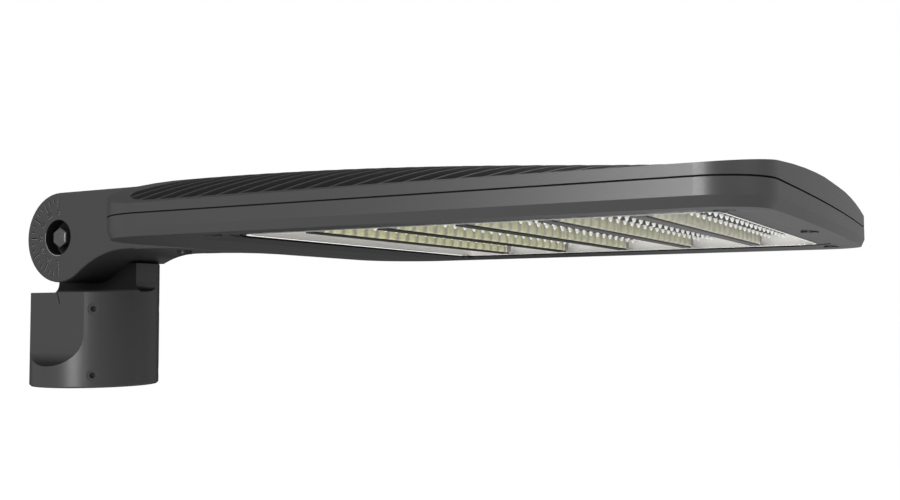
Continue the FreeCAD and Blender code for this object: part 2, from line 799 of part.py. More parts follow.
def frame_gasket():
    """The thin seal in the parting line, all round the head and the arm's tongue."""
    low = parting_z - size("gasket_thick")
    inset = size("gasket_inset")
    wide = inset + size("gasket_wide")
    outside = head_block(low, parting_z, inset).fuse(tongue_plate(inset, low, parting_z))
    inside = head_block(low - overrun, parting_z + overrun, wide)
    inside = inside.fuse(tongue_plate(wide, low - overrun, parting_z + overrun))
    return solid_feature("frame_gasket", outside.cut(inside).removeSplitter())


def tongue_plate(inset, low, high):
    """A flat plate over the tongue, drawn in from its edges."""
    side = half_knuckle - inset
    return solid_box((size("tongue_start") + inset, -side, low), (rear_x + wide_corner, side, high))


def reflector_pan():
    """The white tray round the optics: a plate, a turned edge and a flange on the frame's lip."""
    top = pivot_z - size("pan_drop") + size("pan_thick")
    thick = size("pan_thick")
    gap = size("pan_gap")
    outer = opening_block(-gap, bezel_z, top).fuse(opening_block(size("pan_flange"), lip_z, lip_z + thick))
    pan = outer.cut(opening_block(-gap - thick, bezel_z - overrun, top - thick))
    windows = []
    for strip in range(STRIPS):
        x = row_x(strip)
        half = strip_half + size("optic_gap")
        low = (x - size("bar_width") - size("optic_gap"), -half, top - overrun)
        high = (x + size("optic_width") + size("optic_gap"), half, top + overrun)
        windows.append(solid_box(low, high))
    return solid_feature("reflector_pan", pan.cut(windows).removeSplitter())


def row_x(strip):
    return row_start + row_pitch * strip


def light_rows():
    """Five rows: a board with its diodes, a clear optic and a dark shield bar."""
    half = strip_half
    plate_z = parting_z
    for strip in range(STRIPS):
        name = "_%d" % (strip + 1)
        x = row_x(strip)
        board_low = x + size("board_margin") / 2
        board_z = plate_z - size("board_thick")
        board = box("board" + name, (board_low, -half + size("board_margin"), board_z),
                    (board_low + size("board_width"), half - size("board_margin"), plate_z))
        keep(board, "led_board" + name)
        keep(diodes(name, x, board_z), "led_chips" + name)
        optic(name, x)
        bar_top = parting_z
        bar = box("bar" + name, (x - size("bar_width"), -half, pivot_z - size("bar_drop")),
                  (x - size("optic_gap"), half, bar_top))
        keep(bar, "shield_bar" + name)


def diodes(name, x, board_z):
    side = size("diode_side")
    middle = (DIODES_IN_A_ROW - 1) / 2
    pitch = (strip_half - size("diode_end_gap")) / middle
    chips = []
    for row in range(LENS_ROWS):
        for column in range(DIODES_IN_A_ROW):
            chip_x = x + size("lens_start") + size("lens_pitch") * row
            chip_y = pitch * (column - middle)
            low = (chip_x - side / 2, chip_y - side / 2, board_z - size("diode_high"))
            high = (chip_x + side / 2, chip_y + side / 2, board_z)
            chips.append(box("chip%s_%d_%d" % (name, row + 1, column + 1), low, high))
    return group("chips" + name, chips)


def optic(name, x):
    """A clear moulding: a plate, three lens ribs and a tall wall, drawn from the side."""
    body = doc.addObject("PartDesign::Body", "optic" + name)
    sketch = body.newObject("Sketcher::SketchObject", "optic_side" + name)
    plane = [item for item in body.Origin.OriginFeatures if item.Role == "XZ_Plane"][0]
    sketch.AttachmentSupport = [(plane, "")]
    sketch.MapMode = "FlatFace"
    top_z = parting_z - size("board_thick") - size("diode_high")
    foot_z = pivot_z - size("optic_wall_drop")
    wall = size("optic_wall")
    plate = size("optic_plate")
    radius = size("lens_radius")
    rise = top_z - plate - foot_z
    flats = [size("lens_start") - radius - wall]
    flats += [size("lens_pitch") - radius * 2] * (LENS_ROWS - 1)
    last_lens = size("lens_start") + size("lens_pitch") * (LENS_ROWS - 1)
    flats.append(size("optic_width") - last_lens - radius)
    # The outline goes along the wall's foot, up, along the lenses, up and back.
    runs = [("across", wall), ("up", rise)]
    for flat in flats[:-1]:
        runs += [("across", flat), ("lens", radius * 2)]
    runs += [("across", flats[-1]), ("up", plate), ("across", -size("optic_width"))]
    here = Vector()
    corners = [here]
    for way, length in runs:
        here = here + (Vector(0, float(length), 0) if way == "up" else Vector(float(length), 0, 0))
        corners.append(here)
    bend = radius * ((1 + LENS_CREST_SHARE ** 2) / (2 * LENS_CREST_SHARE))
    last = None
    for (way, length), start, end in zip(runs, corners[:-1], corners[1:]):
        if way == "lens":
            crest = (start + end) * 0.5 - Vector(0, float(radius) * LENS_CREST_SHARE, 0)
            index = sketch.addGeometry(Part.Arc(start, crest, end), False)
            turned = sketch.Geometry[index].StartPoint.distanceToPoint(start) > TOUCH
            first, second = (2, 1) if turned else (1, 2)
            bound(sketch, Sketcher.Constraint("Radius", index, float(bend)), bend)
            sketch.addConstraint(Sketcher.Constraint("Horizontal", index, first, index, second))
            span = Sketcher.Constraint("DistanceX", index, first, index, second, float(length))
            bound(sketch, span, length)
        else:
            index = sketch.addGeometry(Part.LineSegment(start, end), False)
            first, second = 1, 2
            if way == "up":
                sketch.addConstraint(Sketcher.Constraint("Vertical", index))
                bound(sketch, Sketcher.Constraint("DistanceY", index, 1, index, 2, float(length)), length)
            else:
                sketch.addConstraint(Sketcher.Constraint("Horizontal", index))
                if length.number > 0:
                    bound(sketch, Sketcher.Constraint("DistanceX", index, 1, index, 2, float(length)), length)
        if last is None:
            sketch.addConstraint(Sketcher.Constraint("Coincident", index, 1, -1, 1))
        else:
            sketch.addConstraint(Sketcher.Constraint("Coincident", last[0], last[1], index, first))
        last = (index, second)
    back = sketch.addGeometry(Part.LineSegment(corners[-1], corners[0]), False)
    sketch.addConstraint(Sketcher.Constraint("Coincident", last[0], last[1], back, 1))
    sketch.addConstraint(Sketcher.Constraint("Coincident", back, 2, -1, 1))
    sketch.addConstraint(Sketcher.Constraint("Vertical", back))
    pad = body.newObject("PartDesign::Pad", "optic_length" + name)
    pad.Profile = sketch
    pad.setExpression("Length", text(strip_half * 2))
    pad.Midplane = True
    place(body, x, 0.0, foot_z)
    keep(body, "optic_strip" + name)


def bound(sketch, constraint, value):
    """Add a measured constraint and bind it to the sheet."""
    index = sketch.addConstraint(constraint)
    sketch.setExpression("Constraints[%d]" % index, text(value))


def inner_pieces():
    """Driver, its bracket, surge protector and terminal block."""
    plate_low = bay_roof_z - size("bracket_thick")
    middle_x = (bay_start + bay_end) / 2
    half_x = size("driver_width") / 2
    lap = size("bracket_lap")
    surge_high_y = bay_half - size("surge_end_gap")
    surge_low_y = surge_high_y - size("surge_length")
    low_y = size("driver_end_gap") - bay_half
    high_y = surge_low_y - lap
    keep(box("bracket_plate", (middle_x - half_x, low_y - lap / 2, plate_low),
             (middle_x + half_x, high_y + lap / 2, bay_roof_z)), "driver_bracket")
    keep(box("driver_case", (middle_x - half_x, low_y, plate_low - size("driver_high")),
             (middle_x + half_x, high_y, plate_low)), "led_driver")
    keep(box("surge_case", (middle_x - size("surge_width") / 2, surge_low_y, bay_roof_z - size("surge_high")),
             (middle_x + size("surge_width") / 2, surge_high_y, bay_roof_z)), "surge_protector")
    ceiling = pivot_z + barrel_radius - size("arm_roof")
    block_x = (size("tongue_start") + rear_x) / 2
    keep(box("terminal_body", (block_x - size("terminal_length") / 2, -size("terminal_width") / 2,
                               ceiling - size("terminal_high")),
             (block_x + size("terminal_length") / 2, size("terminal_width") / 2, ceiling)), "terminal_block")


slipfitter_base()
set_screws()
pivot_hardware()
upper_housing()
lower_frame()
frame_gasket()
reflector_pan()
light_rows()
frame_screws()
inner_pieces()

doc.recompute()
for item in doc.Objects:
    if "Invalid" in item.State or "Error" in item.State:
        raise RuntimeError("%s is not sound: %s" % (item.Name, item.State))
os.makedirs("parts", exist_ok=True)
for item in sub_parts:
    if item.Shape.isNull() or not item.Shape.isValid():
        raise RuntimeError("%s has no valid shape" % item.Label)
    item.Shape.exportStep("parts/%s.step" % item.Label)
    solids = len(item.Shape.Solids)
    print("%-18s solids %3d  volume %10.1f" % (item.Label, solids, item.Shape.Volume))
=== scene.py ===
# %% [markdown]
# # Dressing an area light
#
# The imported model gives every piece of the light at its real size: a slip fitter that goes over a pole's tenon,
# and a wide, flat head that tilts on it. This lesson adds the looks. We first load the model as a fixed frame.
# Nothing that we add may stand outside it.

# %% Load the frame
import json
import math

import bmesh
import bpy
from mathutils import Matrix, Vector


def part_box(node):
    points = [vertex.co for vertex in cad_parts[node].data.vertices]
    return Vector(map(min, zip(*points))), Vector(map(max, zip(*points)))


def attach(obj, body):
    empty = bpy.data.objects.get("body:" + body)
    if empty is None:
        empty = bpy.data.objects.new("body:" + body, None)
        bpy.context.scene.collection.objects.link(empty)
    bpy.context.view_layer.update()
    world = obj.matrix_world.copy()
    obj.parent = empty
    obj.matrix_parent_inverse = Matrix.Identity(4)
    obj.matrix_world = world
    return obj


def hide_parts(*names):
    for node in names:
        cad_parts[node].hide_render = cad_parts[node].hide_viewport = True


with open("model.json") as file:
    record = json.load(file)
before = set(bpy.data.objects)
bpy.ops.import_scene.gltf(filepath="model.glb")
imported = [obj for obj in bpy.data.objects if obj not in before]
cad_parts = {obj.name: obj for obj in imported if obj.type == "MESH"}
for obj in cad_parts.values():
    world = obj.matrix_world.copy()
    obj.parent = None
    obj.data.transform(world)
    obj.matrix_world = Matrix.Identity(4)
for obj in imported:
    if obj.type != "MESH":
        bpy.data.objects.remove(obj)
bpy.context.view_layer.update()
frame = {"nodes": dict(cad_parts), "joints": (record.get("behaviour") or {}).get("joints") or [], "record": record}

MM = 0.001
nodes = frame["nodes"]

# %% [markdown]
# ## The camera
#
# The photograph was taken from below the head and close to its front corner, so its straight edges
# run together quickly. A camera is only a place, three turns and a lens: we write the turns as
# angles, and build the matrix from them. The lens follows from the focal length in pixels, because
# Blender's sensor is 36 mm wide across the picture's long side.

# %% Set up the camera
EYE = Vector((604.44, -557.38, 55.17)) * MM
YAW = math.radians(28.286)
PITCH = math.radians(3.286)
ROLL = math.radians(-0.266)
FOCAL_PIXELS = 1024.81
PHOTO_WIDTH = 900
SENSOR = 36.0
CLIP_NEAR = 0.01
CLIP_FAR = 50

ahead = Vector((-math.sin(YAW) * math.cos(PITCH), math.cos(YAW) * math.cos(PITCH), math.sin(PITCH)))
level_right = Vector((math.cos(YAW), math.sin(YAW), 0))
level_up = level_right.cross(ahead)
right = math.cos(ROLL) * level_right + math.sin(ROLL) * level_up
up = math.cos(ROLL) * level_up - math.sin(ROLL) * level_right


def show(name, data):
    """An object of the scene that holds this data."""
    made = bpy.data.objects.new(name, data)
    bpy.context.scene.collection.objects.link(made)
    return made


def turned(first, second, third, place):
    """The matrix that puts an object at a place, with its three axes along these directions."""
    return Matrix((
        (first[0], second[0], third[0], place[0]),
        (first[1], second[1], third[1], place[1]),
        (first[2], second[2], third[2], place[2]),
        (0, 0, 0, 1),
    ))


camera = show("camera", bpy.data.cameras.new("camera"))
camera.data.sensor_width = SENSOR
camera.data.lens = FOCAL_PIXELS * SENSOR / PHOTO_WIDTH
camera.data.clip_start = CLIP_NEAR
camera.data.clip_end = CLIP_FAR
camera.matrix_world = turned(right, up, -ahead, EYE)
bpy.context.scene.camera = camera
bpy.context.scene.view_settings.view_transform = "Standard"
print("camera: lens", round(camera.data.lens, 2), "mm")

# %% [markdown]
# ## Writing a finish as sums
#
# A material is a graph of nodes, and a graph is easiest to read when it is written as the sum that
# it works out. `Wire` wraps one output of a node. Adding or multiplying two wires makes the Math
# node that does it, so `1 - mask` is a real line of shader code. Colours go through `blend`,
# because a Math node would turn a colour grey. Every other node comes from the one method `add`,
# which takes the node's type, its settings and then what goes into its sockets.

# %% A class for shader maths
NOISE_MEAN = 0.5


def socket_of(sockets, key):
    """The socket with that index, identifier or name."""
    if isinstance(key, int):
        return sockets[key]
    for socket in sockets:
        if socket.identifier == key:
            return socket
    return sockets[key]


class Wire:
    """One output of a node, which can be used in sums."""

    def __init__(self, finish, socket):
        self.finish = finish
        self.socket = socket

    def maths(self, operation, first, second):
        node = self.finish.add("ShaderNodeMath", {"operation": operation}, {0: first, 1: second})
        return node["Value"]

    def __add__(self, other):
        return self.maths("ADD", self, other)

    def __radd__(self, other):
        return self.maths("ADD", other, self)

    def __sub__(self, other):
        return self.maths("SUBTRACT", self, other)

    def __rsub__(self, other):
        return self.maths("SUBTRACT", other, self)

    def __mul__(self, other):
        return self.maths("MULTIPLY", self, other)

    def __rmul__(self, other):
        return self.maths("MULTIPLY", other, self)

    def __truediv__(self, other):
        return self.maths("DIVIDE", self, other)

    def __rtruediv__(self, other):
        return self.maths("DIVIDE", other, self)

    def over(self, limit):
        """1 where the value is above a limit, and 0 elsewhere."""
        return self.maths("GREATER_THAN", self, limit)

    def unsigned(self):
        """The value without its sign."""
        return self.maths("ABSOLUTE", self, 0.0)

    def folded(self, length):
        """The value folded to and fro, so that it runs from 0 to a length and back."""
        return self.maths("PINGPONG", self, length)

    def clamped(self):
        """The value, held between 0 and 1."""
        return self.finish.add("ShaderNodeClamp", {}, {"Value": self})["Result"]

    def between(self, none, full):
        """0 up to one value, 1 from the other, and an even slope from one to the other."""
        return ((self - none) / (full - none)).clamped()

    def rising(self, start, slope):
        """0 up to a start, and from there a rise of that slope up to 1."""
        return ((self - start) * slope).clamped()

    def swing(self, width):
        """A noise made to swing about 0, where `width` would be its whole range."""
        return (self - NOISE_MEAN) * width


class Made:
    """A node that was just made; its outputs are wires."""

    def __init__(self, finish, node):
        self.finish = finish
        self.node = node

    def __getitem__(self, key):
        return Wire(self.finish, socket_of(self.node.outputs, key))


print("sums of wires are ready")

# %% [markdown]
# A finish holds one material and makes its nodes. Places on a surface are taken in metres, in the
# frame of the body that the piece rides on, so that a grain keeps its real size on every piece and
# stays on it when the head tilts.

# %% A class for finishes
class Finish:
    """A material, written node by node."""

    def __init__(self, name):
        self.material = bpy.data.materials.new(name)
        self.start(self.material)

    def start(self, owner):
        owner.use_nodes = True
        self.tree = owner.node_tree
        self.tree.nodes.clear()

    def add(self, kind, settings=None, inputs=None):
        """Any node: its type, its settings, and the values or wires of its sockets."""
        node = self.tree.nodes.new(kind)
        for name, value in (settings or {}).items():
            if name == "stops":
                self.set_stops(node.color_ramp.elements, value)
            else:
                setattr(node, name, value)
        for key, value in (inputs or {}).items():
            socket = socket_of(node.inputs, key)
            if isinstance(value, Wire):
                self.tree.links.new(value.socket, socket)
            else:
                socket.default_value = value
        return Made(self, node)

    def set_stops(self, elements, stops):
        while len(elements) < len(stops):
            elements.new(1.0)
        for element, (position, colour) in zip(elements, stops):
            element.position = position
            element.color = colour

    def place(self):
        """Where a point of the surface is."""
        return self.add("ShaderNodeTexCoord")["Object"]

    def along(self, axis):
        """One coordinate of that place."""
        return self.add("ShaderNodeSeparateXYZ", {}, {"Vector": self.place()})[axis]

    def noise(self, grain, detail=2.0, stretch=(1, 1, 1)):
        """Cloudy noise whose blobs are about `grain` metres across."""
        stretched = {"Vector": self.place(), "Scale": stretch}
        mapped = self.add("ShaderNodeMapping", {}, stretched)["Vector"]
        inputs = {"Vector": mapped, "Scale": 1 / grain, "Detail": detail}
        return self.add("ShaderNodeTexNoise", {}, inputs)["Fac"]

    def ramp(self, factor, *stops):
        return self.add("ShaderNodeValToRGB", {"stops": stops}, {"Fac": factor})["Color"]

    def blend(self, first, second, factor):
        """A colour between two others."""
        inputs = {"Factor_Float": factor, "A_Color": first, "B_Color": second}
        return self.add("ShaderNodeMix", {"data_type": "RGBA"}, inputs)["Result_Color"]

    def bump(self, height, depth, strength):
        inputs = {"Height": height, "Distance": depth, "Strength": strength}
        return self.add("ShaderNodeBump", {}, inputs)["Normal"]

    def principled(self, **inputs):
        """A Principled shader, whose sockets are named in words."""
        named = {name.replace("_", " "): value for name, value in inputs.items()}
        return self.add("ShaderNodeBsdfPrincipled", {}, named)["BSDF"]

    def mix(self, first, second, factor):
        """A shader between two others."""
        return self.add("ShaderNodeMixShader", {}, {0: factor, 1: first, 2: second})["Shader"]

    def close(self, shader):
        """Ends the material with a shader."""
        self.add("ShaderNodeOutputMaterial", {}, {"Surface": shader})
        return self.material

    def surface(self, **inputs):
        """Ends the material with one Principled shader."""
        return self.close(self.principled(**inputs))


def rgb(red, green, blue):
    return (red, green, blue, 1.0)


def shade(colour, factor):
    """A darker or lighter form of a colour, at most white."""
    return rgb(*[min(1.0, part * factor) for part in colour[:3]])


WHITE = rgb(1, 1, 1)
print("finishes can be written")

# %% [markdown]
# ## Floor, background and light
#
# The photograph has a pure white background. Adding light until a floor turns white would wash the
# object out, so the white comes from the rays instead: camera, glossy and transmission rays see a
# world of strength 1, and only the diffuse rays, which light the object, see a softer one.

# %% World
WORLD_LIGHT = 0.35


def seen_mask(finish):
    """1 for the rays that show the background, and 0 for those that carry light."""
    path = finish.add("ShaderNodeLightPath")
    return (path["Is Camera Ray"] + path["Is Glossy Ray"] + path["Is Transmission Ray"]).clamped()


class WorldFinish(Finish):
    """The same helper, for the world's own nodes."""

    def __init__(self, world):
        self.start(world)


world = bpy.data.worlds.new("studio")
bpy.context.scene.world = world
sky = WorldFinish(world)
strength = WORLD_LIGHT + seen_mask(sky) * (1 - WORLD_LIGHT)
background = sky.add("ShaderNodeBackground", {}, {"Color": WHITE, "Strength": strength})
sky.add("ShaderNodeOutputWorld", {}, {"Surface": background["Background"]})
print("world light", WORLD_LIGHT)

# %% [markdown]
# The light is held up by its pole in use, so the floor lies well below it. It is pale, and for the
# rays that show it, it mixes a glow with a share of its own shading. The two together reach white,
# and the object's shadow still falls on it. A camera under the floor looks through its back.

# %% Floor
FLOOR_PAINT = rgb(0.86, 0.86, 0.86)
FLOOR_GLOW = 1.3
FLOOR_SHARE = 0.3
FLOOR_DROP = 0.55
FLOOR_REACH = 60.0

pale = Finish("pale_floor")
painted = pale.add("ShaderNodeBsdfDiffuse", {}, {"Color": FLOOR_PAINT})["BSDF"]
glowing = pale.add("ShaderNodeEmission", {}, {"Color": WHITE, "Strength": FLOOR_GLOW})["Emission"]
clear = pale.add("ShaderNodeBsdfTransparent", {}, {"Color": WHITE})["BSDF"]
from_below = pale.add("ShaderNodeNewGeometry")["Backfacing"]
upper_face = pale.mix(painted, glowing, seen_mask(pale) * (1 - FLOOR_SHARE))
pale.close(pale.mix(upper_face, clear, from_below))

floor_mesh = bpy.data.meshes.new("floor")
corners = [(-FLOOR_REACH, -FLOOR_REACH), (FLOOR_REACH, -FLOOR_REACH),
           (FLOOR_REACH, FLOOR_REACH), (-FLOOR_REACH, FLOOR_REACH)]
floor_mesh.from_pydata([(x, y, -FLOOR_DROP) for x, y in corners], [], [(0, 1, 2, 3)])
floor_mesh.materials.append(pale.material)
floor = show("floor", floor_mesh)
print("floor lies", FLOOR_DROP, "m below the slip fitter")

# %% [markdown]
# The side of the head goes from dark at the knuckle to a pale sheen near the front corner. A flat
# face can only do that by reflecting a soft lamp at that end, so the key lamp stands on the near
# side, behind the camera and above it. A weaker one off the tip lights the front end, and a wide
# one overhead picks out the tops of the fins.

# %% Lamps
MIDDLE = Vector((300, 0, 110)) * MM
NEAR_SIDE = (0.45, -0.15, 0.1)


def lamp(name, place, target, width, height, power):
    """A soft area lamp that faces a target."""
    light = bpy.data.lights.new(name, "AREA")
    light.shape = "RECTANGLE"
    light.size = width
    light.size_y = height
    light.energy = power
    lit = show(name, light)
    lit.location = place
    lit.rotation_euler = (Vector(target) - Vector(place)).to_track_quat("-Z", "Y").to_euler()
    return lit


lamp("key", (0.3, -1.75, 0.35), NEAR_SIDE, width=0.5, height=0.9, power=42)
lamp("tip", (1.7, -0.3, 0.9), MIDDLE, width=0.6, height=0.6, power=12)
lamp("top", (0.4, 0.5, 1.8), MIDDLE, width=1.2, height=0.8, power=14)
print("lamps:", [light.name for light in bpy.data.lights])

# %% [markdown]
# ## Finishes
#
# Cast aluminium that stands outdoors is powder coated. Seen close, the coat has a fine orange peel;
# seen far, it has slow patches a shade lighter or darker where the powder lay thicker. Both come
# from noise in metres.
#
# The peel does one thing more. A smooth coat turns into a mirror when it is seen at a glancing
# angle, and a rough one doesn't, because its bumps hide one another. A plain shader misses that,
# and the white surroundings would wash out every face that is seen from the side. So the coat mixes
# a sheen with a dull shader, and the more glancing the view, the more of the dull one there is. In
# the photograph the tip keeps more of its sheen than the rest, so it does here.

# %% Powder coat
COAT = (0.0205, 0.0205, 0.0213)
COAT_ROUGHNESS = 0.36
COAT_GLOSS = 0.3
PEEL = 0.7 * MM
PEEL_DETAIL = 3.0
PEEL_DEPTH = 0.05 * MM
PEEL_STRENGTH = 0.35
PEEL_ROUGHENS = 0.12
PATCH = 70 * MM
PATCH_DARK = 0.93
PATCH_LIGHT = 1.07
PATCH_ROUGHENS = 0.05
CLOUD_DETAIL = 1.0
EVEN_BLEND = 0.5
DULL_ROUGHNESS = 0.8
DULL_GLOSS = 0.05
DULL_FROM = 0.25
DULL_FULL = 0.8
TIP_SHEEN = 0.38
TIP_FROM = 330 * MM
TIP_FULL = 500 * MM


def powder_coat(name, colour, roughness, gloss=0.5, painted_shade=None, painted_shade_depth=0.0):
    """The castings' coat; `painted_shade` makes a mask of the places that get painted shade."""
    finish = Finish(name)
    peel = finish.noise(PEEL, PEEL_DETAIL)
    patches = finish.noise(PATCH, CLOUD_DETAIL)
    tone = finish.blend(shade(colour, PATCH_DARK), shade(colour, PATCH_LIGHT), patches)
    facing = finish.add("ShaderNodeLayerWeight", {}, {"Blend": EVEN_BLEND})["Facing"]
    dullness = facing.between(DULL_FROM, DULL_FULL)
    # Painted shade: where the mask is 1, the coat's colour is darkened and its sheen is dulled.
    if painted_shade:
        mask = painted_shade(finish)
        tone = finish.blend(tone, shade(colour, 1 - painted_shade_depth), mask)
        dullness = (dullness + mask).clamped()
    sheen_kept = finish.along("X").between(TIP_FROM, TIP_FULL) * TIP_SHEEN
    bumps = finish.bump(peel, PEEL_DEPTH, PEEL_STRENGTH)
    sheen = finish.principled(
        Base_Color=tone,
        Roughness=roughness + peel.swing(PEEL_ROUGHENS) + patches.swing(PATCH_ROUGHENS),
        Normal=bumps,
        Specular_IOR_Level=gloss,
    )
    dull = finish.principled(
        Base_Color=tone,
        Roughness=DULL_ROUGHNESS,
        Normal=bumps,
        Specular_IOR_Level=DULL_GLOSS,
    )
    return finish.close(finish.mix(sheen, dull, dullness * (1 - sheen_kept)))


casting_coat = powder_coat("casting_coat", COAT, COAT_ROUGHNESS, COAT_GLOSS)
print("made", casting_coat.name)

# %% [markdown]
# The slip fitter wears the same coat. Two of its places are darker than soft lamps make them: the foot of each
# flat, which sweeps out and faces up, and the inner face of the ear, beside the barrel. A mask finds them by the
# way they face and by their height, and there the coat gets painted shade: its colour is darkened and its sheen is
# dulled. The bars behind the lenses are coated strips whose grey is painted lighter row by row towards the tip, to
# stand in for the light they catch there, so they go from dark to pale along the head.

# %% Coats of the slip fitter and the bars
FOOT_FROM = 0.4
FOOT_SLOPE = 3.0
INNER_FROM = 0.3
INNER_SLOPE = 3.0
EAR_FROM = 69.0 * MM
EAR_FULL = 71.0 * MM
BASE_PAINTED_SHADE = 0.7


def shaded_places(finish):
    """1 on the swept foot of a flat and on the ear's inner face, the places that get painted shade."""
    normal = finish.add("ShaderNodeNewGeometry")["Normal"]
    parts = finish.add("ShaderNodeSeparateXYZ", {}, {"Vector": normal})
    faces_up = parts["Z"].rising(FOOT_FROM, FOOT_SLOPE)
    faces_near = (0 - parts["Y"]).rising(INNER_FROM, INNER_SLOPE)
    on_ear = finish.along("Z").between(EAR_FROM, EAR_FULL)
    return (faces_up + faces_near * on_ear).clamped()


base_coat = powder_coat("base_coat", COAT, COAT_ROUGHNESS, COAT_GLOSS, shaded_places, BASE_PAINTED_SHADE)
# Painted light: each row's bar gets its own grey, lighter towards the tip, for the light the bars catch there.
BAR_PAINTED_LIGHT_GREYS = (0.012, 0.012, 0.02, 0.075, 0.1)
BAR_GREEN = 0.97
BAR_ROUGHNESS = 0.5
bar_coats_painted_light = [powder_coat("bar_coat_%d" % (row + 1), (level, level * BAR_GREEN, level), BAR_ROUGHNESS)
             for row, level in enumerate(BAR_PAINTED_LIGHT_GREYS)]
print("made", base_coat.name, "and", len(bar_coats_painted_light), "bar coats")

# %% [markdown]
# Black oxide is a thin, slightly blue-black film with faint wear. The pivot bolt and its nut are
# plated dark. The driver's bracket and case are bare metal with fine drawing lines, and the pan's
# turned lip is polished. One function makes them all, because they differ only in tone, in
# roughness and in how much of a metal they look.

# %% Steel
SCUFF = 1.6 * MM
SCUFF_DETAIL = 4.0
SCUFF_FROM = 0.55
SCUFF_SLOPE = 2.2
WORN_TONE = 1.9
BRUSH = 0.4 * MM
BRUSH_STRETCH = (1, 0.12, 1)
BRUSH_DEPTH = 0.02 * MM
BRUSH_STRENGTH = 0.4
BRUSH_ROUGHENS = 0.2
GRAIN_DETAIL = 2.0


def steel(name, colour, roughness, metallic):
    """Metal with fine lines, lighter where it is scuffed."""
    finish = Finish(name)
    scuffs = finish.noise(SCUFF, SCUFF_DETAIL)
    brushed = finish.noise(BRUSH, GRAIN_DETAIL, BRUSH_STRETCH)
    worn = scuffs.rising(SCUFF_FROM, SCUFF_SLOPE)
    return finish.surface(
        Base_Color=finish.blend(rgb(*colour), shade(colour, WORN_TONE), worn),
        Metallic=metallic,
        Roughness=roughness + brushed.swing(BRUSH_ROUGHENS),
        Normal=finish.bump(brushed, BRUSH_DEPTH, BRUSH_STRENGTH),
    )


black_oxide = steel("black_oxide", (0.045, 0.046, 0.05), roughness=0.42, metallic=0.7)
bolt_steel = steel("bolt_steel", (0.06, 0.06, 0.061), roughness=0.4, metallic=0.8)
galvanised = steel("galvanised", (0.42, 0.43, 0.44), roughness=0.38, metallic=1.0)
drawn_case = steel("drawn_case", (0.5, 0.5, 0.51), roughness=0.34, metallic=1.0)
bright_edge = steel("bright_edge", (0.95, 0.95, 0.95), roughness=0.12, metallic=1.0)
print("made five steels")

# %% [markdown]
# The seals are matte rubber with a trace of moulding grain, and the pan round the lenses is white enamel, smooth
# with a slight waviness that only shows in its sheen. The two mark finishes are painted light: painted shade for
# the dark side of a sunk line, and a painted highlight for its light side.

# %% Rubber, enamel and moulded plastic
MOULD_GRAIN = 0.5 * MM
MOULD_DEPTH = 0.02 * MM
MOULD_STRENGTH = 0.4
MOULD_ROUGHENS = 0.1
ENAMEL_WAVE = 6 * MM
ENAMEL_DEPTH = 0.05 * MM
CLOUD = 25 * MM
CLOUD_DARK = 0.95
CLOUD_LIGHT = 1.05


def moulded(name, colour, roughness, grain_size=MOULD_GRAIN, depth=MOULD_DEPTH, gloss=0.5):
    """An even finish with a fine grain and soft clouds."""
    finish = Finish(name)
    grain = finish.noise(grain_size, GRAIN_DETAIL)
    clouds = finish.noise(CLOUD, CLOUD_DETAIL)
    return finish.surface(
        Base_Color=finish.blend(shade(colour, CLOUD_DARK), shade(colour, CLOUD_LIGHT), clouds),
        Roughness=roughness + grain.swing(MOULD_ROUGHENS),
        Normal=finish.bump(grain, depth, MOULD_STRENGTH),
        Specular_IOR_Level=gloss,
    )


seal_rubber = moulded("seal_rubber", (0.008, 0.008, 0.008), roughness=0.8, gloss=0.02)
white_enamel = moulded("white_enamel", (0.83, 0.82, 0.79), 0.32, ENAMEL_WAVE, ENAMEL_DEPTH)
board_mask = moulded("board_mask", (0.82, 0.82, 0.8), roughness=0.4)
phosphor = moulded("phosphor", (0.8, 0.74, 0.3), roughness=0.6)
black_plastic = moulded("black_plastic", (0.03, 0.03, 0.03), roughness=0.5)
white_plastic = moulded("white_plastic", (0.7, 0.7, 0.68), roughness=0.45)
# Painted shade and painted highlight: the dark and light sides of sunk marks, and the pocket's shade.
mark_dark = moulded("mark_dark", (0.006, 0.006, 0.006), roughness=0.8, gloss=0.02)
mark_light = moulded("mark_light", (0.12, 0.12, 0.123), roughness=0.5)
print("made the seals, the enamel and the plastics")

# %% [markdown]
# ## Lenses
#
# Each row of diodes sits behind one clear moulding. A plate carries three lines of small domes, one over each
# diode, and a taller wall behind them throws light forward. Clear plastic over a white board and yellow phosphor
# reads as pale green-yellow with white sparks, and real refraction would be all noise at this size. So the domes
# and the wall are real geometry with a glossy shader, and their colour is painted light that follows the place: a
# painted image of the yellow phosphor in the wall's cells, grey between them and at the strip's ends, painted
# shade on the plate and painted highlights on the crests. Rows nearer the tip are painted greyer.

# %% Lens material
LENS_PITCH = 11.4 * MM
CELL_YELLOW = (0.84, 0.86, 0.5)
CELL_OLIVE = (0.56, 0.56, 0.47)
CELL_CLOUD = 3.5 * MM
CELL_CLOUD_FROM = 0.42
CELL_CLOUD_SLOPE = 4.0
CELL_CLOUD_SHADE = 0.8
CELL_GAP = rgb(0.36, 0.31, 0.26)
GAP_FROM = 0.4
GAP_SLOPE = 2.0
GAP_SHARE = 0.85
GAP_FADES = 0.35
STRIP_END = 113 * MM
STRIP_END_GREY = rgb(0.24, 0.24, 0.225)
WALL_DEPTH = 2.6 * MM
CREST_FROM = 0.35
CREST_SLOPE = 8.0
RIPPLE = 1.2 * MM
RIPPLE_DEPTH = 0.05 * MM
RIPPLE_STRENGTH = 0.25
RIPPLE_ROUGHENS = 0.1
PLATE_ROUGHNESS = 0.95
SHINE_SMOOTHS = 0.65
SHINE_COAT = 0.2
LENS_GLOSS = 0.2
DOME_PAINTED_LIGHT_STOPS = ((0.0, rgb(0.05, 0.05, 0.045)), (0.34, rgb(0.1, 0.1, 0.09)),
              (0.42, rgb(0.9, 0.9, 0.88)), (1.0, rgb(0.97, 0.97, 0.96)))


